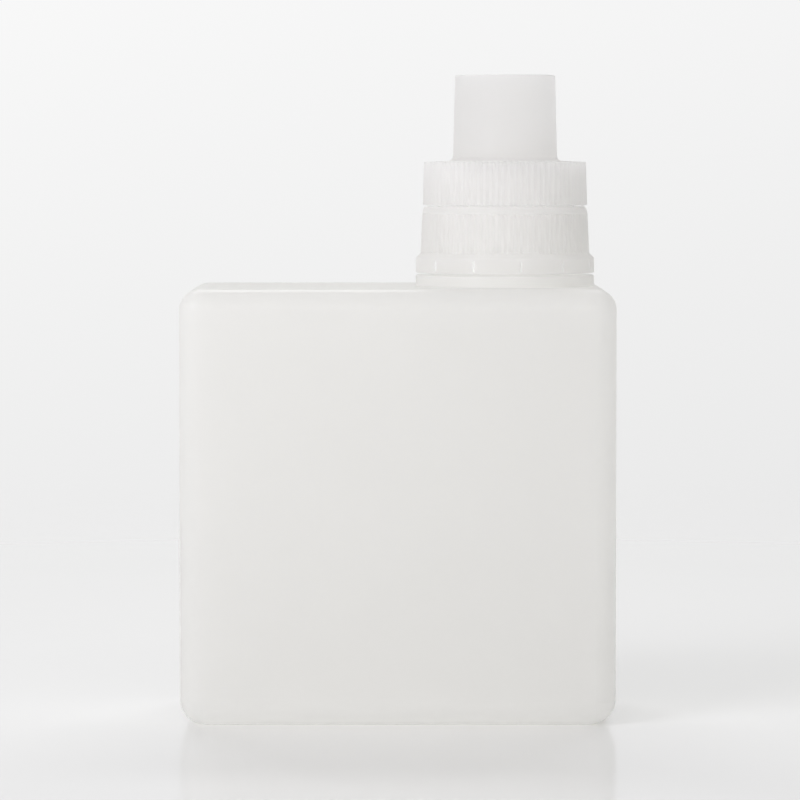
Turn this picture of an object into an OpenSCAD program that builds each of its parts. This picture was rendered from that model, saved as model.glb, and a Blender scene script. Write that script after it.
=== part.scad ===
// Refill bottle: a flat-sided blow-moulded bottle whose neck stands near one end,
// a ribbed pouring collar screwed on that neck, and a measuring cap over the spout.
// Millimetres, +Z up, front towards -Y, origin under the middle of the base.

/* [Body] */
// Width of the body, along X
body_w = 120; // [100:1:180]
// Depth of the body, along Y
body_d = 70; // [58:1:110]
// Height of the body, up to its flat shoulder
body_h = 120; // [60:1:200]
// Radius of the upright edges and of the edges round the shoulder
edge_r = 6; // [4:0.5:10]
// Radius of the edges round the base
base_edge_r = 7; // [4:0.5:10]
// Thickness of the blown wall
wall = 1.3; // [0.8:0.1:2.5]
// Width of the standing rim round the base recess
foot_rim = 5; // [3:0.5:8]
// Depth of the base recess
push_up = 1.2; // [0.5:0.1:3]

/* [Neck] */
// Distance from the neck axis to the right side of the body
neck_side = 30; // [27:0.5:45]
// Outer diameter of the neck, at the root of its thread
neck_d = 40.4; // [32:0.2:48]
// Wall of the neck
neck_wall = 1.5; // [1:0.1:2.5]
// Height of the neck lip above the shoulder
neck_h = 20.5; // [16:0.5:30]
// Height of the round boss under the collar
boss_h = 3.1; // [1.5:0.1:6]
// Overhang of the boss past the lock band
boss_lip = 0.05; // [0:0.05:1]

/* [Threads and seats] */
// Radial height of a thread
thread_h = 1.05; // [0.6:0.05:1.6]
// Radial clearance between a thread and the wall that it faces
thread_clear = 0.3; // [0.2:0.05:0.6]
// Gap between a deck and the lip that it closes
seat_gap = 0.3; // [0.1:0.05:0.6]
// Radial clearance round a plug ring
plug_clear = 0.3; // [0.2:0.05:0.6]
// Wall of a plug ring
plug_wall = 1.1; // [0.8:0.1:2]
// Lead-in at the free edge of a ring or wall
lead_in = 0.5; // [0.2:0.1:0.7]

/* [Grip ribs] */
// Ribs round a skirt
rib_count = 84; // [36:1:120]
// Depth of the grooves between ribs
rib_depth = 0.4; // [0.2:0.05:0.8]
// How far the ribs stand inside the smooth edges above and below them
rib_inset = 0.06; // [0.03:0.01:0.2]

/* [Spout collar] */
// Wall of the ribbed skirt under its grooves, at the top
skirt_wall = 1.15; // [0.8:0.05:2]
// How far the skirt flares towards its foot, on the radius
skirt_flare = 0.55; // [0.2:0.05:1.5]
// Thickness of the deck between skirt and spout
deck_t = 1.4; // [1:0.1:2.5]
// Height of the smooth edge above the ribs
collar_edge_h = 1.8; // [1:0.1:3]
// How far that edge draws in, on the radius
collar_edge_in = 0.55; // [0.2:0.05:1]
// Height of the lock band
band_h = 4.2; // [3:0.1:7]
// How far the lock band stands out past the ribs
band_step = 1.3; // [0.6:0.1:2.5]
// Height of the chamfer from the ribs out to the lock band
band_chamfer = 1.2; // [0.6:0.1:2]
// Wall of the lock band
band_wall = 1.6; // [1:0.1:2.4]
// Gap between the lock band and the boss of the bottle
band_gap = 0.6; // [0.3:0.1:1.5]
// Slits in the lock band
slit_count = 12; // [6:1:18]
// Width of a slit
slit_w = 0.5; // [0.3:0.1:1.2]
// Band left whole above and below a slit
slit_land = 0.7; // [0.4:0.1:1.2]
// Turn of the first slit from the front, towards +X
slit_turn = 8.5; // [0:0.5:30]

/* [Pouring spout] */
// Height of the threaded wall above the deck
thread_wall_h = 10.8; // [8:0.1:16]
// Thickness of that wall
thread_wall_t = 1.4; // [1:0.1:2]
// How far that wall stands inside the outer face of the neck
thread_wall_in = 0.3; // [0:0.05:1]
// How deep the plug ring reaches into the neck
neck_plug_h = 6; // [3:0.5:10]
// Fall of the gutter floor towards the spout
gutter_fall = 3; // [1:0.5:5]
// Thickness of the gutter floor and of the spout
spout_wall = 1.2; // [0.8:0.1:2]
// Room between the spout and the inside of the cup
spout_room = 2.2; // [1.5:0.1:4]
// Headroom between the pouring lip and the top of the cup
lip_room = 11; // [5:0.5:15]
// Taper of the spout over its height, on the radius
spout_taper = 0.8; // [0.2:0.1:1.5]
// Slope of the pouring lip, in degrees
lip_slope = 24; // [10:1:35]
// Width of the drain slot at the back of the spout
drain_w = 5; // [3:0.5:8]

/* [Measuring cap] */
// Diameter of the cup at its closed top
cup_d = 28; // [25:0.5:33]
// How far the cup widens down to the deck, on the radius
cup_flare = 0.6; // [0.2:0.05:1.5]
// Height of the cup above the deck
cup_h = 24.2; // [20:0.2:40]
// Wall of the cup
cup_wall = 1.3; // [0.9:0.1:2]
// Thickness of the closed top
cup_top_t = 1.5; // [1:0.1:3]
// Radius of the fillet between cup and deck
cup_fillet = 1.2; // [0.6:0.1:2]
// Rounding of the cup's top edge
cup_edge = 0.4; // [0.2:0.1:1]
// Thickness of the cap's deck at its edge
cap_deck_t = 1.3; // [1:0.1:2.5]
// Rise of the deck from its edge to the cup
cap_deck_rise = 0.4; // [0.1:0.1:1.5]
// Wall of the cap's skirt under its grooves, at the top
cap_wall = 1; // [0.8:0.05:2]
// How far the cap's skirt flares towards its rim, on the radius
cap_flare = 0.35; // [0.1:0.05:1]
// Height of the smooth edges above and below the ribs
cap_edge_h = 0.4; // [0.3:0.1:1.5]
// Length of the plug ring under the deck
cap_plug_h = 4.5; // [2:0.5:7]
// Gap between the rim of the cap and the collar
cap_gap = 0.4; // [0.3:0.05:0.8]
// Stop nubs on the collar, under the rim of the cap
nub_count = 12; // [4:1:24]
// Width of a stop nub
nub_w = 1; // [0.5:0.1:2]
// Clearance between a stop nub and the rim of the cap
nub_clear = 0.15; // [0.05:0.05:0.25]

/* [Hidden] */
$fn = 96;
hull_fn = 32;
cut = 1;

neck_x = body_w / 2 - neck_side;
neck_r = neck_d / 2;
bore_r = neck_r - neck_wall;
lip_z = body_h + neck_h;
boss_z = body_h + boss_h;

skirt_in_r = neck_r + thread_h + thread_clear;
rib_top_r = skirt_in_r + skirt_wall + rib_depth;
rib_foot_r = rib_top_r + skirt_flare;
band_r = rib_foot_r + band_step;
band_in_r = band_r - band_wall;
boss_r = band_r + boss_lip;

collar_z = boss_z + band_gap;
band_top_z = collar_z + band_h;
rib_foot_z = band_top_z + band_chamfer;
deck_z = lip_z + seat_gap;
collar_top_z = deck_z + deck_t;
rib_top_z = collar_top_z - collar_edge_h;

wall_out_r = neck_r - thread_wall_in;
wall_in_r = wall_out_r - thread_wall_t;
wall_top_z = collar_top_z + thread_wall_h;
neck_plug_r = bore_r - plug_clear;

cap_z = collar_top_z + cap_gap;
cap_deck_under = wall_top_z + seat_gap;
cap_deck_z = cap_deck_under + cap_deck_t;
cup_foot_z = cap_deck_z + cap_deck_rise;
cap_top_z = cap_deck_z + cup_h;
cap_in_r = wall_out_r + thread_h + thread_clear;
cap_rib_top_r = cap_in_r + cap_wall + rib_depth;
cap_rim_r = cap_rib_top_r + cap_flare;
cap_rib_foot_z = cap_z + cap_edge_h;
cap_rib_top_z = cap_deck_z - cap_edge_h;
cap_plug_r = wall_in_r - plug_clear;
cup_top_r = cup_d / 2;
cup_foot_r = cup_top_r + cup_flare;

spout_r = cup_foot_r - cup_wall - spout_room;
spout_tip_z = cap_top_z - cup_top_t - lip_room;
gutter_z = collar_top_z - gutter_fall;
nub_h = cap_gap - nub_clear;

milky = [0.93, 0.93, 0.92];
clear_white = [0.88, 0.88, 0.87];

// A ball whose poles and quarter points lie exactly on its radius
module ball(r) {
    step = 360 / hull_fn;
    rotate_extrude($fn = hull_fn)
        polygon([for (a = [-90 : step : 90]) r * [cos(a), sin(a)]]);
}

// A block on the origin with ball corners, one radius at the top and one at the base
module soft_block(w, d, h, top_r, base_r) {
    hull()
        for (x = [-1, 1], y = [-1, 1]) {
            translate([x * (w / 2 - top_r), y * (d / 2 - top_r), h - top_r]) ball(top_r);
            translate([x * (w / 2 - base_r), y * (d / 2 - base_r), base_r]) ball(base_r);
        }
}

// A flat plate on the origin with round corners
module round_plate(w, d, h, r) {
    linear_extrude(height = h)
        union() {
            square([w - 2 * r, d], center = true);
            square([w, d - 2 * r], center = true);
            for (x = [-1, 1], y = [-1, 1])
                translate([x * (w / 2 - r), y * (d / 2 - r)]) circle(r);
        }
}

// A ribbed cone frustum, measured over its ribs
module ribbed_cone(foot_r, top_r, h) {
    crest = 0.2;
    root = 0.34;
    outline = [
        for (i = [0 : rib_count - 1], p = [[-crest, 0], [crest, 0], [root, 1], [1 - root, 1]])
            let (a = 360 * (i + p[0]) / rib_count, r = foot_r - p[1] * rib_depth)
                [r * cos(a), r * sin(a)]
    ];
    linear_extrude(height = h, scale = top_r / foot_r) polygon(outline);
}

// Radius of the plain wall behind a ring of ribs
function rib_core(in_r, wall_t) = in_r + wall_t * 2 / 3;

// A ring of ribs that wraps the plain wall of a skirt between two smooth edges
module rib_ring(foot_r, top_r, foot_z, top_z, in_r, wall_t) {
    difference() {
        translate([0, 0, foot_z])
            ribbed_cone(foot_r - rib_inset, top_r - rib_inset, top_z - foot_z);
        translate([0, 0, foot_z - cut])
            cylinder(r = in_r + wall_t / 3, h = top_z - foot_z + 2 * cut);
    }
}

// The closed outside of the bottle
module bottle_outside() {
    soft_block(body_w, body_d, body_h, edge_r, base_edge_r);
    translate([neck_x, 0, body_h - edge_r]) {
        cylinder(r = boss_r, h = edge_r + boss_h);
        cylinder(r = neck_r, h = edge_r + neck_h);
    }
}

// The room inside the bottle, with the base panel standing up into it
module bottle_inside() {
    panel_w = body_w - 2 * (base_edge_r + foot_rim);
    panel_d = body_d - 2 * (base_edge_r + foot_rim);
    difference() {
        translate([0, 0, wall])
            soft_block(body_w - 2 * wall, body_d - 2 * wall, body_h - 2 * wall,
                       edge_r - wall, base_edge_r - wall);
        round_plate(panel_w + 2 * wall, panel_d + 2 * wall, push_up + wall, edge_r + wall);
    }
    translate([neck_x, 0, body_h - edge_r]) {
        cylinder(r = boss_r - wall, h = edge_r + boss_h - wall);
        cylinder(r = bore_r, h = edge_r + neck_h + cut);
    }
    translate([0, 0, -cut]) round_plate(panel_w, panel_d, push_up + cut, edge_r);
}

module bottle() {
    color(milky)
        difference() {
            bottle_outside();
            bottle_inside();
        }
}

// The revolved collar: lock band, skirt, deck, threaded wall, gutter and plug ring
module collar_shell() {
    spout_mid_r = spout_r - spout_wall / 2;
    floor_slope = gutter_fall / (wall_in_r - spout_mid_r);
    plug_in_r = neck_plug_r - plug_wall;
    plug_foot_z = deck_z - neck_plug_h;
    under_z = collar_top_z - floor_slope * (wall_in_r - plug_in_r) - spout_wall;
    core_r = rib_core(skirt_in_r, skirt_wall);
    rotate_extrude()
        polygon([
            [band_in_r, collar_z],
            [band_r, collar_z],
            [band_r, band_top_z],
            [rib_foot_r, rib_foot_z],
            [core_r, rib_foot_z],
            [core_r, rib_top_z],
            [rib_top_r, rib_top_z],
            [rib_top_r - collar_edge_in, collar_top_z],
            [wall_out_r, collar_top_z],
            [wall_out_r, wall_top_z - lead_in],
            [wall_out_r - lead_in, wall_top_z],
            [wall_in_r, wall_top_z],
            [wall_in_r, collar_top_z],
            [spout_mid_r, gutter_z],
            [spout_mid_r, gutter_z - spout_wall],
            [plug_in_r, under_z],
            [plug_in_r, plug_foot_z],
            [neck_plug_r - lead_in, plug_foot_z],
            [neck_plug_r, plug_foot_z + 2 * lead_in],
            [neck_plug_r, deck_z],
            [skirt_in_r, deck_z],
            [skirt_in_r, rib_foot_z],
            [band_in_r, band_top_z - slit_land / 2]
        ]);
}

// The slits round the lock band
module band_slits() {
    slit_h = band_h - 2 * slit_land;
    for (i = [0 : slit_count - 1])
        rotate(slit_turn - 90 + 360 * i / slit_count)
            translate([band_in_r - cut, -slit_w / 2, collar_z + slit_land])
                cube([band_wall + 2 * cut, slit_w, slit_h]);
}

// The pouring spout, cut to a slanted lip at +X and open at the back for the drain
module spout() {
    foot_z = gutter_z - spout_wall;
    spout_h = spout_tip_z - foot_z;
    tip_r = spout_r - spout_taper;
    difference() {
        translate([0, 0, foot_z]) cylinder(r1 = spout_r, r2 = tip_r, h = spout_h);
        translate([0, 0, foot_z])
            cylinder(r1 = spout_r - spout_wall, r2 = tip_r - spout_wall, h = spout_h);
        translate([tip_r, 0, spout_tip_z])
            rotate([0, -lip_slope, 0])
                translate([-4 * spout_r, -2 * spout_r, 0])
                    cube([6 * spout_r, 4 * spout_r, spout_h]);
        translate([-2 * spout_r, -drain_w / 2, gutter_z])
            cube([2 * spout_r, drain_w, spout_h]);
    }
}

// Nubs on the collar that stop the rim of the cap
module stop_nubs() {
    nub_r = (cap_in_r + cap_rim_r) / 2 - nub_w / 2;
    for (i = [0 : nub_count - 1])
        rotate(360 * i / nub_count)
            translate([nub_r - nub_w / 2, -nub_w / 2, collar_top_z - deck_t / 2])
                cube([nub_w, nub_w, nub_h + deck_t / 2]);
}

module spout_collar() {
    color(clear_white)
        translate([neck_x, 0, 0]) {
            difference() {
                collar_shell();
                band_slits();
            }
            rib_ring(rib_foot_r, rib_top_r, rib_foot_z, rib_top_z, skirt_in_r, skirt_wall);
            spout();
            stop_nubs();
        }
}

// The revolved cap: cup, deck, skirt and plug ring
module cap_shell() {
    cup_in_r = cup_foot_r - cup_wall;
    plug_in_r = cap_plug_r - plug_wall;
    plug_foot_z = cap_deck_under - cap_plug_h;
    core_r = rib_core(cap_in_r, cap_wall);
    fillet = [
        for (a = [180 : 22.5 : 270])
            [cup_foot_r + cup_fillet * (1 + cos(a)), cup_foot_z + cup_fillet * (1 + sin(a))]
    ];
    rotate_extrude()
        polygon(concat(
            [
                [0, cap_top_z],
                [cup_top_r - cup_edge, cap_top_z],
                [cup_top_r, cap_top_z - cup_edge]
            ],
            fillet,
            [
                [cap_rib_top_r - cap_edge_h, cap_deck_z],
                [cap_rib_top_r, cap_deck_z - cap_edge_h / 2],
                [cap_rib_top_r, cap_rib_top_z],
                [core_r, cap_rib_top_z],
                [core_r, cap_rib_foot_z],
                [cap_rim_r, cap_rib_foot_z],
                [cap_rim_r, cap_z],
                [cap_in_r, cap_z],
                [cap_in_r, cap_deck_under],
                [cap_plug_r, cap_deck_under],
                [cap_plug_r, plug_foot_z + 2 * lead_in],
                [cap_plug_r - lead_in, plug_foot_z],
                [plug_in_r, plug_foot_z],
                [plug_in_r, cap_deck_under],
                [cup_in_r, cap_deck_under],
                [cup_top_r - cup_wall, cap_top_z - cup_top_t],
                [0, cap_top_z - cup_top_t]
            ]
        ));
}

module measuring_cap() {
    color(clear_white)
        translate([neck_x, 0, 0]) {
            cap_shell();
            rib_ring(cap_rim_r, cap_rib_top_r, cap_rib_foot_z, cap_rib_top_z, cap_in_r, cap_wall);
        }
}

bottle();
spout_collar();
measuring_cap();
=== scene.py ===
# %% [markdown]
# # A milky refill bottle
# Three mouldings make this object: a blown bottle with flat sides, a ribbed pouring collar on
# its neck, and a measuring cap over the spout. The solids that carry sizes and joints are
# already packed as a frame, so the lesson starts by loading it. Every piece is then modelled
# around that frame, in metres, where the solids say it stands.

# %% Load the frame
import math

import bmesh
import bpy
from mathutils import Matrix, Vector


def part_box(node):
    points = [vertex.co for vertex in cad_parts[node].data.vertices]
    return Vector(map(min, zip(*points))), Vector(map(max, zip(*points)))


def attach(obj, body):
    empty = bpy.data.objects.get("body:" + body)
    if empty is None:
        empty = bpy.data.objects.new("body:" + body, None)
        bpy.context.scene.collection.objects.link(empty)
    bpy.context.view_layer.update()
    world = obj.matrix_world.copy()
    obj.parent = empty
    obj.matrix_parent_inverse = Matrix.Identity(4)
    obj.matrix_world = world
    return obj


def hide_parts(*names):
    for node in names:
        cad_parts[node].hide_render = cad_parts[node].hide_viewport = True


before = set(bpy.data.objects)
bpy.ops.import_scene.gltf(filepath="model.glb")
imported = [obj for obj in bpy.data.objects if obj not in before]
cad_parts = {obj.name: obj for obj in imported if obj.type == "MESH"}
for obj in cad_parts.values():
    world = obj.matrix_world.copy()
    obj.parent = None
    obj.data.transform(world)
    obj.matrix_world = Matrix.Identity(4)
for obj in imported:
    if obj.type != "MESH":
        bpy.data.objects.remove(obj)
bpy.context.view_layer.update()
MM = 0.001

# %% [markdown]
# ## The camera comes first
# The picture was taken with a long lens, so upright edges stay nearly parallel. The focal
# length and the camera's place follow from how the near and far top edges of the body sit in
# the picture. The camera tilts down a little instead of shifting, because a tilt also suits
# views from other sides.

# %% Camera
IMAGE_PX = 800
FOCAL_PX = 4300
CAMERA_AT = (0.6 * MM, -1206 * MM, 156 * MM)
TILT_DOWN = math.radians(3.235)

bpy.ops.object.select_all(action="DESELECT")
bpy.ops.object.camera_add(location=CAMERA_AT, rotation=(math.pi / 2 - TILT_DOWN, 0, 0))
camera = bpy.context.object
camera.data.lens = camera.data.sensor_width * FOCAL_PX / IMAGE_PX
camera.data.clip_start = 10 * MM
bpy.context.scene.camera = camera
print("lens in mm:", round(camera.data.lens, 1))

# %% [markdown]
# ## Sizes
# The outer sizes are read from the frame's own boxes, so the pieces follow the solids if those
# change. Wall thicknesses, steps and roundings are the ones a moulder would ask for, and they
# are written here once, in millimetres.

# %% Sizes from the frame
bottle_low, bottle_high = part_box("bottle")
collar_low, collar_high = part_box("spout_collar")
cap_low, cap_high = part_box("measuring_cap")

body_w = bottle_high.x - bottle_low.x
body_d = bottle_high.y - bottle_low.y
lip_z = bottle_high.z
neck_x = (collar_low.x + collar_high.x) / 2
collar_z = collar_low.z
spout_tip_z = collar_high.z
band_r = (collar_high.x - collar_low.x) / 2
cap_z = cap_low.z
cap_top_z = cap_high.z
cap_rim_r = (cap_high.x - cap_low.x) / 2
print("neck axis at x =", round(neck_x / MM, 2), "mm, lip at z =", round(lip_z / MM, 2), "mm")

# %% Sizes of the mouldings
shoulder_z = lip_z - 20.5 * MM
edge_r = 6 * MM
base_edge_r = 7 * MM
wall = 1.3 * MM
foot_rim = 5 * MM
push_up = 1.2 * MM
boss_r = band_r + 0.05 * MM
boss_z = shoulder_z + 3.1 * MM
neck_r = 20.2 * MM
bore_r = neck_r - 1.5 * MM

band_wall = 1.6 * MM
band_top_z = collar_z + 4.2 * MM
rib_foot_z = band_top_z + 1.2 * MM
deck_z = lip_z + 0.3 * MM
collar_top_z = deck_z + 1.4 * MM
rib_top_z = collar_top_z - 1.8 * MM
skirt_in_r = neck_r + 1.35 * MM
rib_foot_r = band_r - 1.3 * MM
rib_top_r = rib_foot_r - 0.55 * MM
wall_out_r = neck_r - 0.3 * MM
wall_in_r = wall_out_r - 1.4 * MM
wall_top_z = collar_top_z + 10.8 * MM
plug_r = bore_r - 0.3 * MM
plug_wall = 1.1 * MM
gutter_z = collar_top_z - 3 * MM
spout_wall = 1.2 * MM

cap_under_z = wall_top_z + 0.3 * MM
cap_deck_z = cap_under_z + 1.3 * MM
cap_edge_r = cap_rim_r - 0.35 * MM
cap_in_r = wall_out_r + 1.35 * MM
cap_plug_r = wall_in_r - 0.3 * MM
cup_r = 14 * MM
cup_foot_r = cup_r + 0.6 * MM
cup_foot_z = cap_deck_z + 0.4 * MM
cup_wall = 1.3 * MM
cup_top_t = 1.5 * MM
spout_r = cup_foot_r - cup_wall - 2.2 * MM
spout_tip_r = spout_r - 0.8 * MM
print("grip ribs over", round(2 * rib_foot_r / MM, 1), "mm, cup", round(2 * cup_r / MM, 1), "mm across")

# %% [markdown]
# ## A few modelling habits
# An operator works on everything that is selected, so each step starts by selecting exactly
# what it should change. `pick` does that in edit mode by a rule on each vertex, edge or face.
# `cut` and `weld` are a boolean modifier that is applied at once, as one would click it.

# %% Selecting and joining
def make_active(piece):
    """Leaves edit mode, deselects everything, then selects one piece and makes it active."""
    if bpy.context.object and bpy.context.object.mode != "OBJECT":
        bpy.ops.object.mode_set(mode="OBJECT")
    bpy.ops.object.select_all(action="DESELECT")
    piece.select_set(True)
    bpy.context.view_layer.objects.active = piece


def pick(kind, rule):
    """Selects the vertices, edges or faces in edit mode that pass the rule, and counts them."""
    bpy.ops.mesh.select_mode(type=kind)
    bpy.ops.mesh.select_all(action="DESELECT")
    mesh = bpy.context.edit_object.data
    shape = bmesh.from_edit_mesh(mesh)
    items = {"VERT": shape.verts, "EDGE": shape.edges, "FACE": shape.faces}[kind]
    chosen = [item for item in items if rule(item)]
    for item in chosen:
        item.select_set(True)
    shape.select_flush_mode()
    bmesh.update_edit_mesh(mesh)
    return len(chosen)


def apply_boolean(piece, other, operation):
    """Joins another closed mesh to a piece, or cuts it away, and deletes that mesh."""
    make_active(piece)
    step = piece.modifiers.new(operation.lower(), "BOOLEAN")
    step.operation = operation
    step.solver = "MANIFOLD"
    step.object = other
    bpy.ops.object.modifier_apply(modifier=step.name)
    bpy.data.objects.remove(other)


def weld(piece, other):
    apply_boolean(piece, other, "UNION")


def cut(piece, other):
    apply_boolean(piece, other, "DIFFERENCE")


def axis_distance(point):
    """Distance of a point from the upright axis of the neck."""
    return math.hypot(point.x - neck_x, point.y)


# %% [markdown]
# ## Turned shapes
# The neck, collar and cap are round, so each is drawn as a flat section and spun about the
# neck axis. The section is traced as by hand: a plane is merged to one vertex, and that vertex
# is extruded from corner to corner. Corners are rounded while the section is still flat,
# because rounding a few points is easier than bevelling long rings later.

# %% Trace a section and spin it
ROUNDING_STEPS = 3
# Points that are closer than this, in metres, count as one
SAME_PLACE = 1e-6


def trace_section(name, corners):
    """Traces a closed section from corners of (radius, height, rounding) and rounds them."""
    bpy.ops.object.select_all(action="DESELECT")
    bpy.ops.mesh.primitive_plane_add(size=MM)
    piece = bpy.context.object
    piece.name = name
    piece.data.name = name
    bpy.ops.object.mode_set(mode="EDIT")
    bpy.ops.mesh.select_mode(type="VERT")
    bpy.ops.mesh.select_all(action="SELECT")
    bpy.ops.mesh.merge(type="CENTER")
    spots = [Vector((neck_x + r, 0, z)) for r, z, _ in corners]
    bpy.ops.transform.translate(value=spots[0])
    for here, there in zip(spots, spots[1:]):
        bpy.ops.mesh.extrude_vertices_move(TRANSFORM_OT_translate={"value": there - here})
    bpy.ops.mesh.select_all(action="SELECT")
    bpy.ops.mesh.edge_face_add()
    for spot, (_, _, rounding) in zip(spots, corners):
        if rounding:
            pick("VERT", lambda v: (v.co - spot).length < SAME_PLACE)
            bpy.ops.mesh.bevel(offset=rounding, segments=ROUNDING_STEPS, affect="VERTICES")
    bpy.ops.mesh.select_all(action="SELECT")
    bpy.ops.mesh.delete(type="ONLY_FACE")
    return piece


def spin_section(piece, columns):
    """Spins the section in edit mode to a closed turned shape."""
    bpy.ops.mesh.select_all(action="SELECT")
    bpy.ops.mesh.spin(
        steps=columns,
        angle=2 * math.pi,
        center=(neck_x, 0, 0),
        axis=(0, 0, 1),
        use_auto_merge=True,
    )
    bpy.ops.mesh.select_all(action="SELECT")
    bpy.ops.mesh.remove_doubles(threshold=SAME_PLACE)
    bpy.ops.mesh.delete_loose()
    bpy.ops.mesh.select_all(action="SELECT")
    bpy.ops.mesh.normals_make_consistent(inside=False)


# %% [markdown]
# ## Screw threads
# A thread is a small trapezium carried round the axis by a Screw modifier. Its first and last
# stretch are pressed into the wall, so that it runs out softly as a moulded thread does. The
# two threads of a pair are wound from the same angle and half a pitch apart, so that their
# flanks sit between each other when the closure is shut.

# %% Wind a thread
THREAD_PITCH = 3.5 * MM
THREAD_FOOT = 1.7 * MM
THREAD_CREST = 0.8 * MM
THREAD_SUNK = 0.35 * MM
THREAD_STEPS = 96
RUN_OUT_STEPS = 10
# Share of the ridge's height that is pressed away at its very ends
RUN_OUT_DEPTH = 0.9


def wind_thread(root_r, crest_r, start_z, turns):
    """Winds a right-handed ridge from a wall at root_r to its crest, with pressed-in ends."""
    sink = THREAD_SUNK if root_r < crest_r else -THREAD_SUNK
    foot_r = root_r - sink
    ridge = trace_section(
        "ridge",
        [
            (foot_r, start_z - THREAD_FOOT / 2, 0),
            (crest_r, start_z - THREAD_CREST / 2, 0),
            (crest_r, start_z + THREAD_CREST / 2, 0),
            (foot_r, start_z + THREAD_FOOT / 2, 0),
        ],
    )
    bpy.ops.mesh.select_all(action="SELECT")
    bpy.ops.transform.translate(value=(-neck_x, 0, 0))
    bpy.ops.object.mode_set(mode="OBJECT")
    screw = ridge.modifiers.new("screw", "SCREW")
    screw.axis = "Z"
    screw.angle = 2 * math.pi * turns
    screw.screw_offset = THREAD_PITCH * turns
    screw.steps = screw.render_steps = round(THREAD_STEPS * turns)
    screw.use_merge_vertices = False
    bpy.ops.object.modifier_apply(modifier=screw.name)
    press_ends(ridge, foot_r, crest_r)
    bpy.ops.mesh.select_all(action="SELECT")
    bpy.ops.mesh.fill_holes(sides=0)
    bpy.ops.mesh.select_all(action="SELECT")
    bpy.ops.mesh.normals_make_consistent(inside=False)
    bpy.ops.transform.translate(value=(neck_x, 0, 0))
    bpy.ops.object.mode_set(mode="OBJECT")
    return ridge


def press_ends(ridge, foot_r, crest_r):
    """Presses the crest of the first and last steps of a ridge back to its foot."""
    corners = 4
    rings = len(ridge.data.vertices) // corners
    make_active(ridge)
    bpy.ops.object.mode_set(mode="EDIT")
    for step in range(RUN_OUT_STEPS):
        share = 1 - math.sin(math.pi / 2 * step / RUN_OUT_STEPS)
        ends = (step, rings - 1 - step)
        pick(
            "VERT",
            lambda v: v.index // corners in ends and abs(v.co.xy.length - crest_r) < SAME_PLACE,
        )
        factor = 1 + share * RUN_OUT_DEPTH * (foot_r / crest_r - 1)
        bpy.ops.transform.resize(value=(factor, factor, 1), center_override=(0, 0, 0))


# %% [markdown]
# ## The blown body
# The bottle is one hollow skin that was blown against a two-part mould. A block with a Solidify
# modifier would give it one thickness everywhere, but a neck is moulded thicker than the body.
# So the outside and the room inside are two blocks of the same kind, and one is cut from the
# other. Bevel weights give the base a slightly larger edge than the rest in one modifier.

# %% A block with soft edges
EDGE_STEPS = 12
PANEL_STEPS = 8
# A face counts as an underside when its normal points at least this far down
FACING_DOWN = -0.999


def add_soft_block(name, size, low_z, top_r, base_r):
    """Adds a block that stands on low_z, with base_r round its base and top_r on its other edges."""
    bpy.ops.object.select_all(action="DESELECT")
    bpy.ops.mesh.primitive_cube_add(size=1, scale=size, location=(0, 0, low_z + size[2] / 2))
    block = bpy.context.object
    block.name = block.data.name = name
    bpy.ops.object.transform_apply(location=True, rotation=True, scale=True)
    bpy.ops.object.mode_set(mode="EDIT")
    bpy.ops.mesh.select_all(action="SELECT")
    bpy.ops.transform.edge_bevelweight(value=top_r / base_r)
    pick("EDGE", lambda e: all(v.co.z < low_z + MM for v in e.verts))
    bpy.ops.transform.edge_bevelweight(value=1 - top_r / base_r)
    bpy.ops.object.mode_set(mode="OBJECT")
    soft = block.modifiers.new("soft edges", "BEVEL")
    soft.limit_method = "WEIGHT"
    soft.width = base_r
    soft.segments = EDGE_STEPS
    soft.use_clamp_overlap = False
    bpy.ops.object.modifier_apply(modifier=soft.name)
    return block


def press_base_panel(block, rim, corner_r):
    """Insets the standing rim under a block, rounds the panel inside it and pushes that panel up."""
    make_active(block)
    bpy.ops.object.mode_set(mode="EDIT")
    pick("FACE", lambda f: f.normal.z < FACING_DOWN)
    bpy.ops.mesh.inset(thickness=rim)
    bpy.ops.mesh.bevel(offset=corner_r, segments=PANEL_STEPS, affect="VERTICES")
    pick("FACE", lambda f: f.normal.z < FACING_DOWN and f.calc_center_median().xy.length < MM)
    bpy.ops.mesh.inset(thickness=push_up, depth=-push_up)
    bpy.ops.object.mode_set(mode="OBJECT")


# %% [markdown]
# ## Mould seam
# Where the two halves of the mould met, a hair-thin ridge runs up the narrow sides and over the
# shoulder. Three close cuts through the block give the ridge its own edges, and the middle one
# is fattened by a twentieth of a millimetre. The block is made narrower by that much, so the
# bottle keeps its width.

# %% Outside of the body
SEAM_H = 0.05 * MM
SEAM_HALF_W = 0.25 * MM

bottle = add_soft_block(
    "bottle_shell",
    (body_w - 2 * SEAM_H, body_d, shoulder_z),
    0,
    edge_r,
    base_edge_r,
)
press_base_panel(bottle, foot_rim, edge_r)
bpy.ops.object.mode_set(mode="EDIT")
for y in (-SEAM_HALF_W, 0, SEAM_HALF_W):
    bpy.ops.mesh.select_all(action="SELECT")
    bpy.ops.mesh.bisect(plane_co=(0, y, 0), plane_no=(0, 1, 0))
seam_points = pick(
    "VERT",
    lambda v: abs(v.co.y) < SAME_PLACE and v.co.z > base_edge_r - SAME_PLACE,
)
bpy.ops.transform.shrink_fatten(value=SEAM_H)
bpy.ops.object.mode_set(mode="OBJECT")
print("seam drawn through", seam_points, "points")

# %% [markdown]
# ## Boss, neck and the room inside
# The neck rises from a low round boss that stops the collar. Both are one turned shape that
# sinks into the block before it is welded on, so no faces of the two lie on each other. The
# room inside follows at wall thickness, and the thread goes on last.

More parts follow.
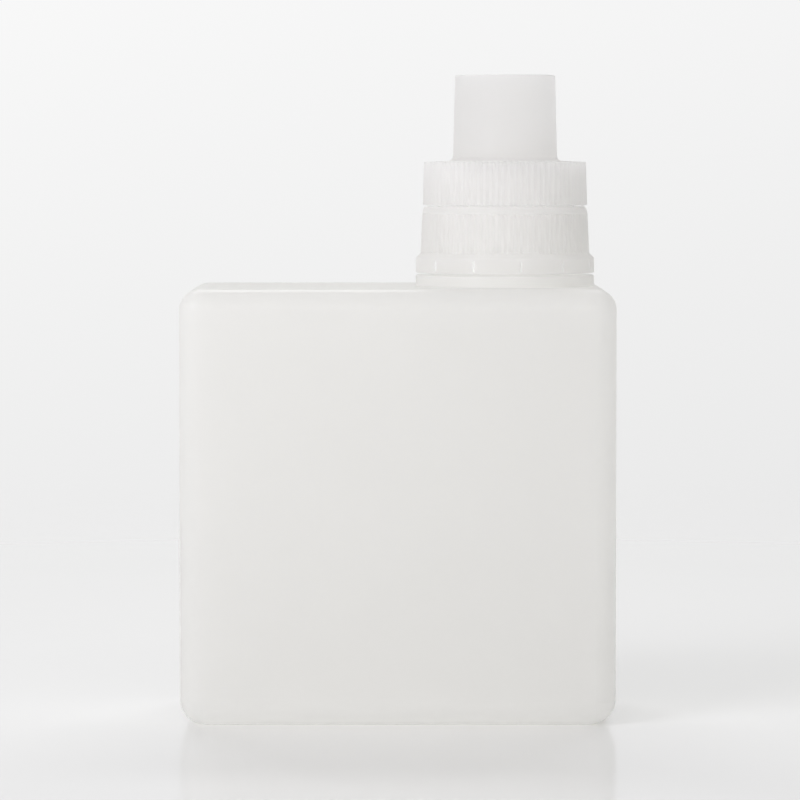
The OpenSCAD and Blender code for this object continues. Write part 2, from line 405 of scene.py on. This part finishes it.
# %% Neck, room and thread of the bottle
SUNK = 4 * MM
PAST_LIP = 1 * MM
BOSS_ROUND = 0.5 * MM
NECK_FOOT_ROUND = 0.6 * MM
LIP_ROUND = 0.4 * MM
NECK_COLUMNS = 144
THREAD_H = 1.05 * MM
neck_thread_z = lip_z - 13.5 * MM
neck_thread_turns = 2.75

neck = trace_section(
    "neck",
    [
        (0, shoulder_z - SUNK, 0),
        (boss_r, shoulder_z - SUNK, 0),
        (boss_r, boss_z, BOSS_ROUND),
        (neck_r, boss_z, NECK_FOOT_ROUND),
        (neck_r, lip_z, LIP_ROUND),
        (0, lip_z, 0),
    ],
)
spin_section(neck, NECK_COLUMNS)
weld(bottle, neck)

room = add_soft_block(
    "room",
    (body_w - 2 * wall, body_d - 2 * wall, shoulder_z - 2 * wall),
    wall,
    edge_r - wall,
    base_edge_r - wall,
)
press_base_panel(room, foot_rim - wall, edge_r + wall)
bore = trace_section(
    "bore",
    [
        (0, shoulder_z - SUNK, 0),
        (boss_r - wall, shoulder_z - SUNK, 0),
        (boss_r - wall, boss_z - wall, BOSS_ROUND),
        (bore_r, boss_z - wall, 0),
        (bore_r, lip_z + PAST_LIP, 0),
        (0, lip_z + PAST_LIP, 0),
    ],
)
spin_section(bore, NECK_COLUMNS)
weld(room, bore)
cut(bottle, room)
weld(bottle, wind_thread(neck_r, neck_r + THREAD_H, neck_thread_z, neck_thread_turns))
print("bottle shell:", len(bottle.data.polygons), "faces")

# %% [markdown]
# ## Grip ribs
# The collar and the cap carry the same fine grip ribs. Each shape is spun with six columns to a
# rib, and the columns of the grooves are then scaled in towards the axis. Half-depth columns on
# both sides of a groove give it sloping flanks, as a mould cutter leaves them.

# %% Press the grooves between the ribs
RIBS = 84
COLUMNS_PER_RIB = 6
RIB_DEPTH = 0.4 * MM
# Share of the depth, and which columns of each rib are pressed to it
GROOVE_COLUMNS = ((0.5, (2, 5)), (1, (3, 4)))


def press_ribs(piece, inside_r, low_z, high_z):
    """Scales the groove columns of a spun skirt in, between two heights and outside a radius."""
    columns = RIBS * COLUMNS_PER_RIB

    def column(v):
        turn = math.atan2(v.co.y, v.co.x - neck_x) / (2 * math.pi)
        return round(turn * columns) % COLUMNS_PER_RIB

    pressed = 0
    for share, groove in GROOVE_COLUMNS:
        pressed += pick(
            "VERT",
            lambda v: low_z < v.co.z < high_z
            and axis_distance(v.co) > inside_r
            and column(v) in groove,
        )
        factor = 1 - share * RIB_DEPTH / ((inside_r + cap_rim_r) / 2)
        bpy.ops.transform.resize(value=(factor, factor, 1), center_override=(neck_x, 0, 0))
    print(piece.name, "has", pressed, "points pressed into", RIBS, "grooves")


# %% [markdown]
# ## The pouring collar
# One moulding holds the slit lock band, the ribbed skirt, the deck, the threaded wall for the
# cap, and the spout in its drain-back gutter. The whole section is traced in one closed loop,
# from the foot of the band up the outside, over into the gutter and spout, and back down the
# inside. One loop leaves no hidden faces between the parts.

# %% Trace and spin the collar
FINE_ROUND = 0.2 * MM
TIP_ROUND = 0.25 * MM
EDGE_ROUND = 0.3 * MM
CORNER_ROUND = 0.4 * MM
DECK_ROUND = 0.5 * MM
GUTTER_ROUND = 0.6 * MM
LEAD_IN = 0.5 * MM
PLUG_H = 6 * MM
DECK_SLOPE = 0.55 * MM
RIB_FADE = 0.5 * MM
# The grooves end this far inside the ribbed stretch
RIB_END = 0.3 * MM
# Nothing nearer than this to the inside of the skirt is pressed
SKIRT_KEPT = 0.8 * MM

band_in_r = band_r - band_wall
plug_in_r = plug_r - plug_wall
plug_foot_z = deck_z - PLUG_H
gutter_slope = (collar_top_z - gutter_z) / (wall_in_r - spout_r)
rib_taper = (rib_foot_r - rib_top_r) / (rib_top_z - rib_foot_z)

collar = trace_section(
    "pouring_collar",
    [
        (band_in_r, collar_z, FINE_ROUND),
        (band_r, collar_z, EDGE_ROUND),
        (band_r, band_top_z, EDGE_ROUND),
        (rib_foot_r, rib_foot_z, FINE_ROUND),
        (rib_foot_r - rib_taper * RIB_FADE, rib_foot_z + RIB_FADE, 0),
        (rib_top_r + rib_taper * RIB_FADE, rib_top_z - RIB_FADE, 0),
        (rib_top_r, rib_top_z, FINE_ROUND),
        (rib_top_r - DECK_SLOPE, collar_top_z, DECK_ROUND),
        (wall_out_r, collar_top_z, EDGE_ROUND),
        (wall_out_r, wall_top_z, LEAD_IN),
        (wall_in_r, wall_top_z, EDGE_ROUND),
        (wall_in_r, collar_top_z, GUTTER_ROUND),
        (spout_r, gutter_z, GUTTER_ROUND),
        (spout_tip_r, spout_tip_z, TIP_ROUND),
        (spout_tip_r - spout_wall, spout_tip_z, TIP_ROUND),
        (spout_r - spout_wall, gutter_z - spout_wall, EDGE_ROUND),
        (plug_in_r, gutter_z - spout_wall + gutter_slope * (plug_in_r - spout_r), CORNER_ROUND),
        (plug_in_r, plug_foot_z, FINE_ROUND),
        (plug_r, plug_foot_z, LEAD_IN),
        (plug_r, deck_z, FINE_ROUND),
        (skirt_in_r, deck_z, CORNER_ROUND),
        (skirt_in_r, rib_foot_z, 0),
        (band_in_r, band_top_z - EDGE_ROUND, 0),
    ],
)
spin_section(collar, RIBS * COLUMNS_PER_RIB)
press_ribs(collar, skirt_in_r + SKIRT_KEPT, rib_foot_z + RIB_END, rib_top_z - RIB_END)
bpy.ops.object.mode_set(mode="OBJECT")

# %% [markdown]
# ## Slits, nubs, drain and pouring lip
# The lock band is slit all round so that it can spring over the boss, and small nubs on the deck
# stop the rim of the cap. One block is modelled for each and copied round the axis by a
# duplicating spin. The spout is cut to a slanted lip, and a slot at its back lets drips run home.

# %% Cut the details of the collar
SLITS = 12
SLIT_W = 0.5 * MM
SLIT_LAND = 0.7 * MM
# The slit nearest the front sits a little to its right
SLIT_TURN = math.radians(8.5 - 90)
LIP_SLOPE = math.radians(24)
LIP_CUT_W = 24 * MM
LIP_CUT_H = 12 * MM
DRAIN_W = 5 * MM
DRAIN_SHIFT = 0.3 * MM


def add_block(name, size, centre, turn=(0, 0, 0)):
    """Adds a block at its size, place and turn, with all of it applied to its mesh."""
    bpy.ops.object.select_all(action="DESELECT")
    bpy.ops.mesh.primitive_cube_add(size=1, scale=size, location=centre, rotation=turn)
    block = bpy.context.object
    block.name = block.data.name = name
    bpy.ops.object.transform_apply(location=True, rotation=True, scale=True)
    return block


def copy_round_axis(block, count):
    """Copies a block to a full ring about the neck axis."""
    make_active(block)
    bpy.ops.object.mode_set(mode="EDIT")
    bpy.ops.mesh.select_all(action="SELECT")
    bpy.ops.mesh.spin(
        steps=count - 1,
        dupli=True,
        angle=2 * math.pi * (count - 1) / count,
        center=(neck_x, 0, 0),
        axis=(0, 0, 1),
    )
    bpy.ops.object.mode_set(mode="OBJECT")
    return block


def on_axis(radius, turn, z):
    """A point at a radius, a turn and a height about the neck axis."""
    return (neck_x + radius * math.cos(turn), radius * math.sin(turn), z)


slit = add_block(
    "slit",
    (2 * band_wall, SLIT_W, band_top_z - collar_z - 2 * SLIT_LAND),
    on_axis(band_r - band_wall / 2, SLIT_TURN, (collar_z + band_top_z) / 2),
    (0, 0, SLIT_TURN),
)
cut(collar, copy_round_axis(slit, SLITS))

along, up = math.cos(LIP_SLOPE), math.sin(LIP_SLOPE)
lip_cutter = add_block(
    "lip_cutter",
    (LIP_CUT_W, LIP_CUT_W, LIP_CUT_H),
    (
        neck_x + spout_tip_r - along * LIP_CUT_W / 2 - up * LIP_CUT_H / 2,
        0,
        spout_tip_z - up * LIP_CUT_W / 2 + along * LIP_CUT_H / 2,
    ),
    (0, -LIP_SLOPE, 0),
)
cut(collar, lip_cutter)

drain = add_block(
    "drain",
    (spout_r, DRAIN_W, spout_tip_z - gutter_z),
    (neck_x - spout_r / 2 - DRAIN_SHIFT, 0, (spout_tip_z + gutter_z) / 2),
)
cut(collar, drain)
print("collar:", len(collar.data.polygons), "faces")

# %% Nubs and threads of the collar
NUBS = 12
NUB_W = 1 * MM
NUB_CLEAR = 0.15 * MM
collar_thread_z = neck_thread_z + THREAD_PITCH / 2
collar_thread_turns = 2.5
wall_thread_z = collar_top_z + 2 * MM
wall_thread_turns = 1.75
nub_h = cap_z - collar_top_z - NUB_CLEAR

nub = add_block(
    "nub",
    (NUB_W, NUB_W, 2 * nub_h),
    on_axis((cap_in_r + cap_rim_r) / 2 - NUB_W / 2, 0, collar_top_z),
)
weld(collar, copy_round_axis(nub, NUBS))
weld(collar, wind_thread(skirt_in_r, skirt_in_r - THREAD_H, collar_thread_z, collar_thread_turns))
weld(collar, wind_thread(wall_out_r, wall_out_r + THREAD_H, wall_thread_z, wall_thread_turns))
print("collar with threads:", len(collar.data.polygons), "faces")

# %% [markdown]
# ## The measuring cap
# The cap is a skirt that screws on the collar and a tall cup that covers the spout; turned over,
# the cup measures the dose. Its ribs run up to the edge of the deck. The wall is thin and
# translucent, so the section follows its inside as closely as its outside.

# %% Trace and spin the cap
CAP_PLUG_H = 4.5 * MM
GATE_R = 1.6 * MM
GATE_DEPTH = 0.25 * MM
GATE_ROUND = 0.1 * MM
CUP_TOP_ROUND = 0.5 * MM
CUP_FOOT_ROUND = 1.2 * MM
CUP_MOUTH_ROUND = 0.8 * MM
CUP_FLOOR_ROUND = 1 * MM
CAP_RIB_END = 0.1 * MM
CAP_KEPT = 0.7 * MM
cap_plug_in_r = cap_plug_r - plug_wall
cap_plug_foot_z = cap_under_z - CAP_PLUG_H
cap_thread_z = wall_thread_z + THREAD_PITCH / 2

cap = trace_section(
    "measuring_cap_shell",
    [
        (0, cap_top_z - GATE_DEPTH, 0),
        (GATE_R, cap_top_z - GATE_DEPTH, GATE_ROUND),
        (GATE_R + GATE_DEPTH, cap_top_z, GATE_ROUND),
        (cup_r, cap_top_z, CUP_TOP_ROUND),
        (cup_foot_r, cup_foot_z, CUP_FOOT_ROUND),
        (cap_edge_r, cap_deck_z, CORNER_ROUND),
        (cap_rim_r, cap_z, TIP_ROUND),
        (cap_in_r, cap_z, TIP_ROUND),
        (cap_in_r, cap_under_z, DECK_ROUND),
        (cap_plug_r, cap_under_z, EDGE_ROUND),
        (cap_plug_r, cap_plug_foot_z, LEAD_IN),
        (cap_plug_in_r, cap_plug_foot_z, FINE_ROUND),
        (cap_plug_in_r, cap_under_z, EDGE_ROUND),
        (cup_foot_r - cup_wall, cap_under_z, CUP_MOUTH_ROUND),
        (cup_r - cup_wall, cap_top_z - cup_top_t, CUP_FLOOR_ROUND),
        (0, cap_top_z - cup_top_t, 0),
    ],
)
spin_section(cap, RIBS * COLUMNS_PER_RIB)
press_ribs(cap, cap_in_r + CAP_KEPT, cap_z + CAP_RIB_END, cap_deck_z - CAP_RIB_END)
bpy.ops.object.mode_set(mode="OBJECT")
weld(cap, wind_thread(cap_in_r, cap_in_r - THREAD_H, cap_thread_z, wall_thread_turns))
print("cap:", len(cap.data.polygons), "faces")

# %% [markdown]
# ## Smooth shading
# Moulded plastic looks smooth because its curves are smooth and its edges stay crisp. Edges
# sharper than a set angle are kept hard, and weighted normals keep the large flat faces flat
# right up to their rounded edges.

# %% Shade the three mouldings
HARD_EDGE = math.radians(38)

for piece in (bottle, collar, cap):
    make_active(piece)
    bpy.ops.object.shade_smooth_by_angle(angle=HARD_EDGE)
    flat = piece.modifiers.new("flat faces", "WEIGHTED_NORMAL")
    flat.keep_sharp = True
    bpy.ops.object.modifier_apply(modifier=flat.name)
    print(piece.name, "shaded,", len(piece.data.polygons), "faces")

# %% [markdown]
# ## Finishes
# Colours are written as screen colours and turned to linear light by one function. A second
# small function adds a shader node, sets it up and links it, so that each finish reads as a
# short list of what it is made of.

# %% Colour and node helpers
def linear(code):
    """Turns an sRGB hex colour into linear RGBA."""
    channels = [int(code[i:i + 2], 16) / 255 for i in (1, 3, 5)]
    return [c / 12.92 if c <= 0.04045 else ((c + 0.055) / 1.055) ** 2.4 for c in channels] + [1]


def add_node(tree, kind, sockets=None, **settings):
    """Adds a node with its settings, and gives each named socket a value or a link."""
    new = tree.nodes.new(kind)
    for name, value in settings.items():
        setattr(new, name, value)
    for name, value in (sockets or {}).items():
        if isinstance(value, bpy.types.NodeSocket):
            tree.links.new(value, new.inputs[name])
        else:
            new.inputs[name].default_value = value
    return new


def start_material(name):
    """Starts an empty material and returns it with its node tree."""
    material = bpy.data.materials.new(name)
    material.use_nodes = True
    material.node_tree.nodes.clear()
    return material, material.node_tree


# %% [markdown]
# ## Milky blow-moulded polyethylene
# The bottle is natural high-density polyethylene. It is cloudy but absorbs almost nothing, so a
# thin wall sends part of the light back and lets the rest through, well spread. Subsurface
# scattering could show that in a thick block. For a thin hollow wall, a mix of a satin surface
# and a Translucent shader shows it better, because light then really fills the room inside.
# Blowing leaves broad, shallow waves in the wall, and the sand-blasted mould leaves a satin
# grain, so the gloss varies a little from place to place.

# %% Finish of the bottle
milky_hdpe, tree = start_material("milky blow-moulded HDPE")
WAVE_SIZE = 28 * MM
WAVE_DEPTH = 0.12 * MM
# The real grain is about 0.1 mm; it is drawn coarser so that it shows in the render
GRAIN_SIZE = 0.7 * MM
GRAIN_DEPTH = 0.01 * MM
GRAIN_STRENGTH = 0.3
HDPE_ROUGHNESS = (0.2, 0.28)
# Share of the light that goes on through each face of the wall
HDPE_THROUGH = 0.78

place = add_node(tree, "ShaderNodeTexCoord").outputs["Object"]
waves = add_node(tree, "ShaderNodeTexNoise", {"Vector": place, "Scale": 1 / WAVE_SIZE, "Detail": 1})
grain = add_node(tree, "ShaderNodeTexNoise", {"Vector": place, "Scale": 1 / GRAIN_SIZE, "Detail": 2})
# Sockets 6 and 7 of this node are the two colours, and its output 2 is their mix
colour = add_node(
    tree,
    "ShaderNodeMix",
    {0: waves.outputs["Fac"], 6: linear("#F9F8F8"), 7: linear("#FCFBFB")},
    data_type="RGBA",
)
gloss = add_node(
    tree,
    "ShaderNodeMapRange",
    {"Value": waves.outputs["Fac"], "To Min": HDPE_ROUGHNESS[0], "To Max": HDPE_ROUGHNESS[1]},
)
wavy = add_node(
    tree,
    "ShaderNodeBump",
    {"Height": waves.outputs["Fac"], "Strength": 1, "Distance": WAVE_DEPTH},
)
satin = add_node(
    tree,
    "ShaderNodeBump",
    {
        "Height": grain.outputs["Fac"],
        "Strength": GRAIN_STRENGTH,
        "Distance": GRAIN_DEPTH,
        "Normal": wavy.outputs["Normal"],
    },
)
skin = add_node(
    tree,
    "ShaderNodeBsdfPrincipled",
    {
        "Base Color": colour.outputs[2],
        "Roughness": gloss.outputs["Result"],
        "IOR": 1.54,
        # The skin is only a share of the mix, so it mirrors more to give the whole wall its gloss
        "Specular IOR Level": 1,
        "Normal": satin.outputs["Normal"],
    },
)
glow = add_node(
    tree,
    "ShaderNodeBsdfTranslucent",
    {"Color": linear("#FEFEFD"), "Normal": satin.outputs["Normal"]},
)
cloudy = add_node(
    tree,
    "ShaderNodeMixShader",
    {0: HDPE_THROUGH, 1: skin.outputs["BSDF"], 2: glow.outputs["BSDF"]},
)
add_node(tree, "ShaderNodeOutputMaterial", {"Surface": cloudy.outputs["Shader"]})
print(milky_hdpe.name, "has", len(tree.nodes), "nodes")

# %% [markdown]
# ## Natural injection-moulded polypropylene
# The collar and cap are natural polypropylene, clearer than the bottle. Light travels further
# in it, so thin walls pass more of it. The mould of the grip has a fine satin texture, and the
# flow of the melt leaves soft clouds of slightly different gloss.

# %% Finish of the collar and cap
natural_pp, tree = start_material("natural injection-moulded PP")
FLOW_SIZE = 9 * MM
PP_GRAIN_DEPTH = 0.008 * MM
PP_ROUGHNESS = (0.26, 0.34)
PP_THROUGH = 0.9

place = add_node(tree, "ShaderNodeTexCoord").outputs["Object"]
flow = add_node(tree, "ShaderNodeTexNoise", {"Vector": place, "Scale": 1 / FLOW_SIZE, "Detail": 2})
grain = add_node(tree, "ShaderNodeTexNoise", {"Vector": place, "Scale": 1 / GRAIN_SIZE, "Detail": 2})
colour = add_node(
    tree,
    "ShaderNodeMix",
    {0: flow.outputs["Fac"], 6: linear("#FAF8F6"), 7: linear("#FDFBF9")},
    data_type="RGBA",
)
gloss = add_node(
    tree,
    "ShaderNodeMapRange",
    {"Value": flow.outputs["Fac"], "To Min": PP_ROUGHNESS[0], "To Max": PP_ROUGHNESS[1]},
)
satin = add_node(
    tree,
    "ShaderNodeBump",
    {"Height": grain.outputs["Fac"], "Strength": GRAIN_STRENGTH, "Distance": PP_GRAIN_DEPTH},
)
skin = add_node(
    tree,
    "ShaderNodeBsdfPrincipled",
    {
        "Base Color": colour.outputs[2],
        "Roughness": gloss.outputs["Result"],
        "IOR": 1.49,
        "Normal": satin.outputs["Normal"],
    },
)
glow = add_node(
    tree,
    "ShaderNodeBsdfTranslucent",
    {"Color": linear("#FEFEFE"), "Normal": satin.outputs["Normal"]},
)
cloudy = add_node(
    tree,
    "ShaderNodeMixShader",
    {0: PP_THROUGH, 1: skin.outputs["BSDF"], 2: glow.outputs["BSDF"]},
)
add_node(tree, "ShaderNodeOutputMaterial", {"Surface": cloudy.outputs["Shader"]})
print(natural_pp.name, "has", len(tree.nodes), "nodes")

# %% [markdown]
# ## The polished cup
# The cup of the cap is clearer than the grip below it, because its mould is polished so that
# the dose shows through. The same finish serves, with less cloud in it: a part of the light
# goes through bent and only a little spread, which also turns the edges of the cup darker.

# %% Finish of the cup
CUP_THROUGH = 0.8
# Share of the skin that bends light through instead of sending it back
CUP_CLEAR = 0.48

polished_pp = natural_pp.copy()
polished_pp.name = "polished natural PP"
polished_pp.node_tree.nodes[cloudy.name].inputs[0].default_value = CUP_THROUGH
polished_pp.node_tree.nodes[skin.name].inputs["Transmission Weight"].default_value = CUP_CLEAR
print(polished_pp.name, "is clear to", CUP_CLEAR, "of its skin")

# %% [markdown]
# ## Floor
# The bottle stands on a pale, slightly glossy sheet whose far edge melts into a pale backdrop.
# The sheet is a disc that turns a little greyer further out, which is a painted shade, and then
# see-through towards its rim, and its gloss mirrors the foot of the bottle.

# %% Floor
FLOOR_R = 0.9
FLOOR_SIDES = 96
FLOOR_DROP = 0.1 * MM
# The far tone is a painted shade: the sheet is drawn greyer further from the bottle
NEAR_TONE = "#F8F8F8"
FAR_TONE = "#EFEFEF"
# Distances from the middle, in metres, over which the painted shade greys the sheet and over which it
# turns see-through
SHADE_FROM = 0.2
SHADE_TO = 0.45
FADE_FROM = 0.3
FADE_TO = 0.88

bpy.ops.object.select_all(action="DESELECT")
bpy.ops.mesh.primitive_circle_add(
    vertices=FLOOR_SIDES, radius=FLOOR_R, fill_type="NGON", location=(0, 0, -FLOOR_DROP)
)
floor = bpy.context.object
floor.name = floor.data.name = "floor"

pale_sheet, tree = start_material("pale satin sheet")
place = add_node(tree, "ShaderNodeTexCoord").outputs["Object"]
reach = add_node(tree, "ShaderNodeVectorMath", {0: place}, operation="LENGTH")
fade = add_node(
    tree,
    "ShaderNodeMapRange",
    {"Value": reach.outputs["Value"], "From Min": FADE_FROM, "From Max": FADE_TO},
    interpolation_type="SMOOTHSTEP",
)
# Painted shade: the colour of the sheet greys with distance from the middle
painted_shade = add_node(
    tree,
    "ShaderNodeMapRange",
    {"Value": reach.outputs["Value"], "From Min": SHADE_FROM, "From Max": SHADE_TO},
)
colour = add_node(
    tree,
    "ShaderNodeMix",
    {0: painted_shade.outputs["Result"], 6: linear(NEAR_TONE), 7: linear(FAR_TONE)},
    data_type="RGBA",
)
sheet = add_node(
    tree,
    "ShaderNodeBsdfPrincipled",
    {"Base Color": colour.outputs[2], "Roughness": 0.15, "IOR": 1.45},
)
clear = add_node(tree, "ShaderNodeBsdfTransparent")
blend = add_node(
    tree,
    "ShaderNodeMixShader",
    {0: fade.outputs["Result"], 1: sheet.outputs["BSDF"], 2: clear.outputs["BSDF"]},
)
add_node(tree, "ShaderNodeOutputMaterial", {"Surface": blend.outputs["Shader"]})
floor.data.materials.append(pale_sheet)
print("floor fades out from", FADE_FROM, "to", FADE_TO, "m")

# %% [markdown]
# ## Backdrop
# The backdrop is the world itself: a band of pale grey round the horizon that every view shows.
# It is lighter towards its top and a trace darker to the right. Its places are given as parts
# of a direction of length one, because that is what the world reads.

# %% Backdrop
LOW_TONE = "#EDEDED"
HIGH_TONE = "#F8F8F8"
FAR_RIGHT_TINT = "#FBFBFB"
LOW_AT = -0.085
HIGH_AT = 0.034
FAR_RIGHT_AT = 0.1

world = bpy.data.worlds.new("pale studio")
bpy.context.scene.world = world
world.use_nodes = True
tree = world.node_tree
tree.nodes.clear()
towards = add_node(tree, "ShaderNodeTexCoord").outputs["Generated"]
parts = add_node(tree, "ShaderNodeSeparateXYZ", {"Vector": towards})
height = add_node(
    tree,
    "ShaderNodeMapRange",
    {"Value": parts.outputs["Z"], "From Min": LOW_AT, "From Max": HIGH_AT},
)
across = add_node(
    tree,
    "ShaderNodeMapRange",
    {"Value": parts.outputs["X"], "From Min": -FAR_RIGHT_AT, "From Max": FAR_RIGHT_AT},
)
upright = add_node(
    tree,
    "ShaderNodeMix",
    {0: height.outputs["Result"], 6: linear(LOW_TONE), 7: linear(HIGH_TONE)},
    data_type="RGBA",
)
backdrop = add_node(
    tree,
    "ShaderNodeMix",
    {0: across.outputs["Result"], 6: upright.outputs[2], 7: linear(FAR_RIGHT_TINT)},
    data_type="RGBA",
    blend_type="MULTIPLY",
)
print("backdrop from", LOW_TONE, "to", HIGH_TONE)

# %% [markdown]
# ## Sides of the studio
# Above the band the world holds the soft boxes and dark corners of the studio. Each side there
# counts by the square of how far a direction points at it, because these shares always add up
# to one. The front is bright, the back and the top are dimmer, and the left and right are
# nearly dark, so round edges turn a little darker there.

# %% Sides of the studio
# How far up a direction points where the band begins to give way, and where it is gone
BAND_TOP = 0.1
SIDES_FROM = 0.35
# Each side of the studio: axis, direction along it, tone, strength
SIDES = (
    ("X", 1, "#3A3632", 1),
    ("X", -1, "#3A3C40", 1),
    ("Y", 1, "#FFFFFF", 0.45),
    ("Y", -1, "#FFFDFA", 1.5),
    ("Z", 1, "#A8A8A8", 1),
)

studio = (0, 0, 0)
for axis, direction, tone, strength in SIDES:
    facing = add_node(
        tree,
        "ShaderNodeMapRange",
        {"Value": parts.outputs[axis], "From Min": 0, "From Max": direction},
    )
    share = add_node(tree, "ShaderNodeMath", {0: facing.outputs["Result"], 1: 2}, operation="POWER")
    side = add_node(
        tree,
        "ShaderNodeVectorMath",
        {0: share.outputs["Value"], 1: [strength * c for c in linear(tone)[:3]], 2: studio},
        operation="MULTIPLY_ADD",
    )
    studio = side.outputs["Vector"]

rise = add_node(
    tree,
    "ShaderNodeMapRange",
    {"Value": parts.outputs["Z"], "From Min": BAND_TOP, "From Max": SIDES_FROM},
    interpolation_type="SMOOTHSTEP",
)
whole = add_node(
    tree,
    "ShaderNodeMix",
    {0: rise.outputs["Result"], 6: backdrop.outputs[2], 7: studio},
    data_type="RGBA",
)
light = add_node(tree, "ShaderNodeBackground", {"Color": whole.outputs[2], "Strength": 1})
add_node(tree, "ShaderNodeOutputWorld", {"Surface": light.outputs["Background"]})
print("studio with", len(SIDES), "sides above the band")

# %% [markdown]
# ## Light
# Two soft lamps join the light of the studio. The tall one stands in front, to the left and
# above: it gives the left edge and its corner a soft highlight and leaves the right side a
# little darker. The long one hangs above and behind, where the round top edge of the body
# mirrors it as a thin bright line.

# %% Two soft lamps
LAMP_AIM = Vector((0, 0, 0.1))
# Each lamp: name, place and size in metres, watts, tone
LAMPS = (
    ("key lamp", Vector((-1.0, -1.1, 0.8)), (0.8, 1.3), 10.8, "#FAFAFF"),
    ("edge lamp", Vector((0, 0.85, 1.2)), (0.9, 0.25), 6, "#FFFFFF"),
)

for name, spot, size, watts, tone in LAMPS:
    bpy.ops.object.select_all(action="DESELECT")
    bpy.ops.object.light_add(
        type="AREA",
        location=spot,
        rotation=(LAMP_AIM - spot).to_track_quat("-Z", "Y").to_euler(),
    )
    lamp = bpy.context.object
    lamp.name = name
    lamp.data.shape = "RECTANGLE"
    lamp.data.size, lamp.data.size_y = size
    lamp.data.energy = watts
    lamp.data.color = linear(tone)[:3]
    lamp.visible_camera = False
    print(name, "at", [round(c, 2) for c in spot], "m with", watts, "W")

# %% [markdown]
# ## Hand the pieces to the frame
# Each moulding takes the place of its solid, which is hidden, rides on that solid's body, so that it
# lifts with it, and gets its finish. The faces of the cup then get the polished finish.

# %% Frame, render settings and finish
scene = bpy.context.scene
scene.view_settings.view_transform = "Standard"
# Light crosses many cloudy walls before it is spent, so its path needs more bounces than usual
BOUNCES = 64
scene.cycles.max_bounces = BOUNCES
scene.cycles.diffuse_bounces = BOUNCES
scene.cycles.transmission_bounces = BOUNCES

for piece, solid, body, slot, finish in (
    (bottle, "bottle", "bottle", "bottle_hdpe", milky_hdpe),
    (collar, "spout_collar", "collar", "closure_pp", natural_pp),
    (cap, "measuring_cap", "cap", "closure_pp", natural_pp),
):
    piece.data.materials.clear()
    piece.data.materials.append(finish)
    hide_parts(solid)
    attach(piece, body)

cap.data.materials.append(polished_pp)
polished_index = cap.data.materials.find(polished_pp.name)
cup_faces = [
    face
    for face in cap.data.polygons
    if face.center.z > cup_foot_z and axis_distance(face.center) < cup_foot_r + EDGE_ROUND
]
for face in cup_faces:
    face.material_index = polished_index
print("polished cup:", len(cup_faces), "faces")
